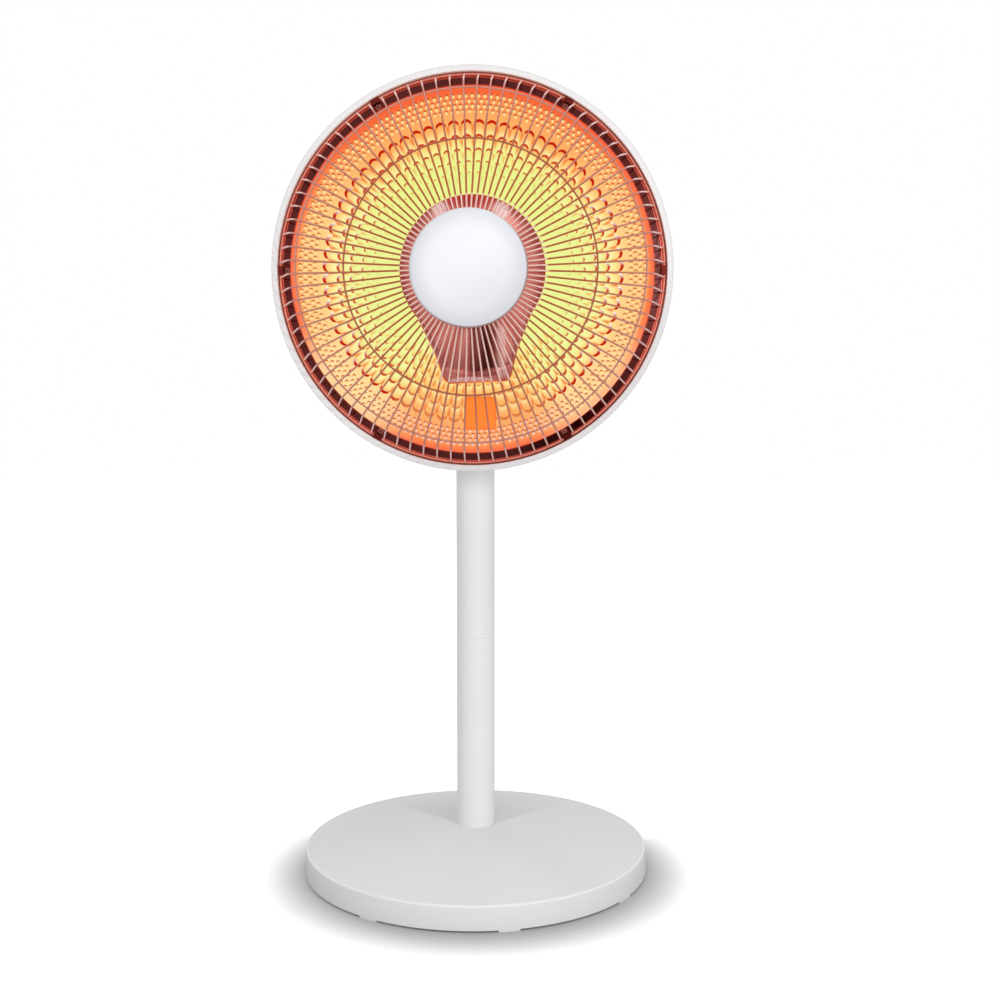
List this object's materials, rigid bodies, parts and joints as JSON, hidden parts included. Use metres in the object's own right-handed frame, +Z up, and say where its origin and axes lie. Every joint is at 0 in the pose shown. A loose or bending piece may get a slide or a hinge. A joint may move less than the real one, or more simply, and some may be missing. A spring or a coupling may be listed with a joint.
{
  "type": "carbon heater",
  "caption": "Free-standing carbon dish heater: a round weighted base, a tube pole and a guarded round reflector head that tilts and swings.",
  "frame": {"origin": "on the floor, at the centre of the round base, on the pole's axis", "axes": "+Z up along the pole, -Y towards the front of the dish, +X to the right as seen from the front"},
  "size_m": [0.34, 0.317, 0.713],
  "materials": {
    "white_plastic": "fine satin moulding",
    "white_paint": "satin powder coat",
    "cap_white": "satin gloss",
    "rose_metal": "polished rose gold",
    "dish_metal": "pressed and polished",
    "guard_wire": "rose plated",
    "steel": "zinc plated",
    "iron": "as cast",
    "quartz": "clear fused quartz",
    "carbon": "glowing fibre ribbon",
    "ceramic": "unglazed",
    "dark_plastic": "matt",
    "rubber": "matt",
    "brass": "sintered"
  },
  "bodies": {
    "stand": {"base_shell": "white_plastic", "base_weight": "iron", "bottom_plate": "steel", "base_screws": "steel", "pole_nut": "steel", "lower_tube": "white_paint", "tube_coupler": "steel", "upper_tube": "white_paint", "pole_head": "white_plastic", "tilt_bolt": "steel", "tilt_nut": "steel", "tilt_washers": "steel", "tip_switch": "dark_plastic", "cord_inlet": "rubber"},
    "neck": {"neck": "white_plastic", "swivel_screw": "steel"},
    "head": {"swivel_bush": "brass", "rear_shell": "white_plastic", "rear_housing": "white_plastic", "housing_screws": "steel", "reflector": "dish_metal", "trim_ring": "rose_metal", "wire_guard": "guard_wire", "middle_guard_ring": "guard_wire", "outer_guard_ring": "guard_wire", "guard_hoop": "guard_wire", "guard_cap": "cap_white", "cap_screw": "steel", "guard_clips": "rose_metal", "guard_screws": "steel", "lamp_shield": "rose_metal", "lamp_tube": "quartz", "carbon_element": "carbon", "lamp_caps": "ceramic", "lamp_bracket": "steel", "shield_posts": "steel", "thermal_cutout": "dark_plastic", "terminal_block": "ceramic", "heat_switch": "dark_plastic", "timer_unit": "dark_plastic", "swing_motor": "steel"},
    "heat_knob": {"heat_knob": "white_plastic"},
    "timer_knob": {"timer_knob": "white_plastic"},
    "swing_knob": {"swing_knob": "white_plastic"},
    "tip_plunger": {"tip_plunger": "dark_plastic"}
  },
  "joints": [
    {"name": "tilt", "type": "hinge", "parent": "stand", "child": "neck", "pos_m": [0, 0, 0.433], "axis": [-1, 0, 0], "range_deg": [-10, 20]},
    {"name": "swing", "type": "hinge", "parent": "neck", "child": "head", "pos_m": [0, 0, 0.48], "axis": [0, 0, 1], "range_deg": [-35, 35]},
    {"name": "heat_turn", "type": "hinge", "parent": "head", "child": "heat_knob", "pos_m": [-0.028, 0.0423, 0.555], "axis": [0, -1, 0], "range_deg": [0, 120]},
    {"name": "timer_turn", "type": "hinge", "parent": "head", "child": "timer_knob", "pos_m": [0.028, 0.0423, 0.555], "axis": [0, -1, 0], "range_deg": [0, 300]},
    {"name": "swing_pull", "type": "slide", "parent": "head", "child": "swing_knob", "axis": [0, 1, 0], "range_m": [0, 0.005]},
    {"name": "tip_press", "type": "slide", "parent": "stand", "child": "tip_plunger", "axis": [0, 0, 1], "range_m": [-0.004, 0], "stiffness_N_per_m": 120, "springref_m": -0.006}
  ]
}
